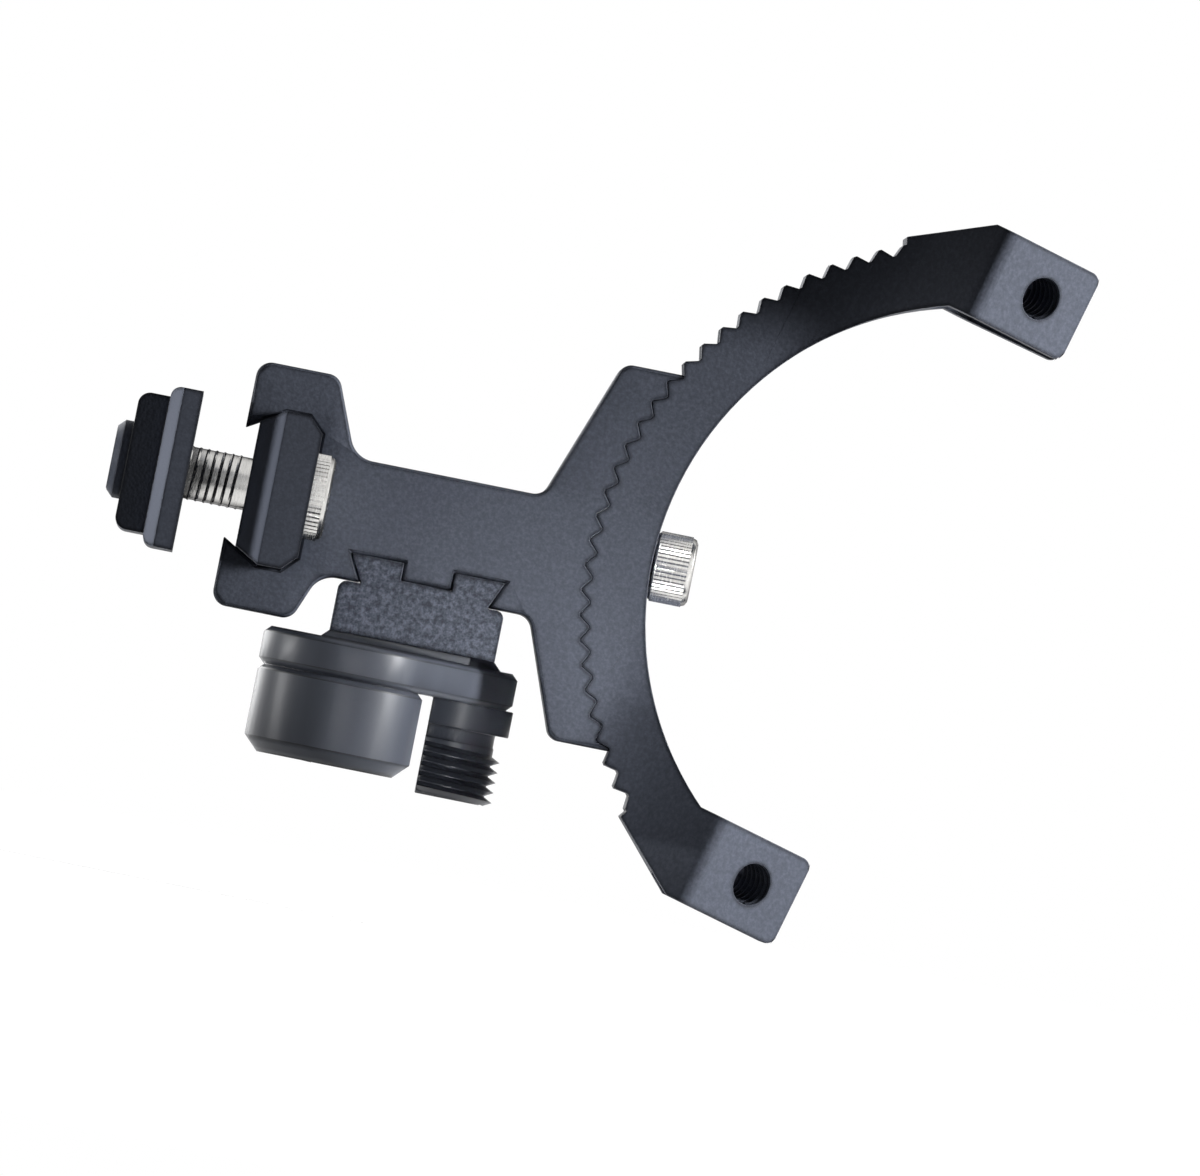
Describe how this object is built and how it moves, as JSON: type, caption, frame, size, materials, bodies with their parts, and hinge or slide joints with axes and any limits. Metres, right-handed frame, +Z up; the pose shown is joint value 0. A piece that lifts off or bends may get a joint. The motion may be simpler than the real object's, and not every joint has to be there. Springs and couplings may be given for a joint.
{
  "type": "saddle bottle cage mount",
  "caption": "Bracket that clamps to saddle rails and carries bottle cages on a toothed, angle-indexed V bracket, with a cartridge holder on a dovetail below.",
  "frame": {"origin": "midway between the two saddle rails, at the height of the clamp bolts", "axes": "+X rearward along the body, +Y to the rider's right, +Z up along the clamped rails"},
  "size_m": [0.0915, 0.056, 0.0734],
  "materials": {
    "body_metal": "bead-blasted black anodised",
    "bracket_metal": "bead-blasted black anodised",
    "clamp_metal": "black anodised",
    "shoe_metal": "coarse blasted black anodised",
    "holder_plastic": "satin moulded black",
    "stainless": "bright stainless",
    "dark_screw": "black oxide"
  },
  "bodies": {
    "frame": {"main_body": "body_metal", "clamp_bar": "clamp_metal", "clamp_bolt_left": "stainless", "clamp_bolt_right": "stainless", "angle_bolt": "stainless"},
    "plate": {"clamp_plate": "clamp_metal"},
    "bracket": {"cage_bracket": "bracket_metal"},
    "holder": {"holder_shoe": "shoe_metal", "cartridge_holder": "holder_plastic", "holder_screw_left": "dark_screw", "holder_screw_right": "dark_screw"}
  },
  "joints": [
    {"name": "clamp_open", "type": "slide", "parent": "frame", "child": "plate", "axis": [-1, 0, 0], "range_m": [0, 0.004]},
    {"name": "bracket_tilt", "type": "hinge", "parent": "frame", "child": "bracket", "pos_m": [0.075, 0, 0], "axis": [0, 1, 0], "range_deg": [-37.5, 7.5]},
    {"name": "holder_slide", "type": "slide", "parent": "frame", "child": "holder", "axis": [0, -1, 0], "range_m": [0, 0.02]}
  ]
}
